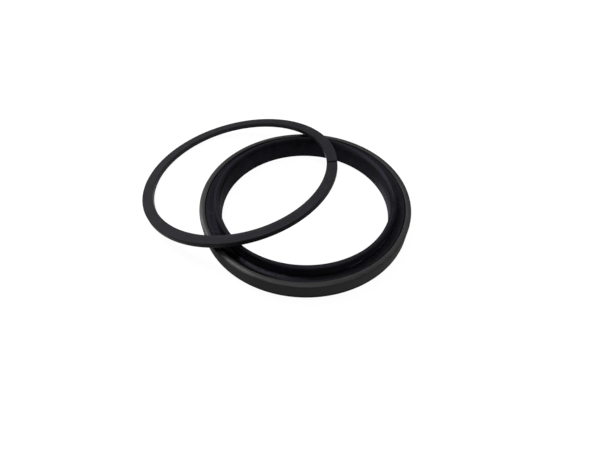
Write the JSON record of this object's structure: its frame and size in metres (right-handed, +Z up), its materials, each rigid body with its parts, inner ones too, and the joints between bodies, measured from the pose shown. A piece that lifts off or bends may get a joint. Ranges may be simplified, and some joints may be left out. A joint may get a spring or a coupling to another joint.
{
  "type": "piston ring",
  "caption": "Sealing ring with a hard outer band and a raised inner lip lying flat, with its flat split ring leaning across it.",
  "frame": {"origin": "on the axis of the lip ring's bore, in the plane that the rings rest on", "axes": "+Z up along the bore's axis, out of the lip side; +X to the right and +Y away from the camera in the picture; the split ring's centre lies 38.4 mm from the origin, 155 degrees from +X"},
  "size_m": [0.1388, 0.1205, 0.0195],
  "materials": {
    "band": "matte, fine grain",
    "lip_rubber": "satin",
    "split_ring": "satin"
  },
  "bodies": {
    "root": {"outer_band": "band", "lip_ring": "lip_rubber", "split_ring": "split_ring"}
  },
  "joints": []
}
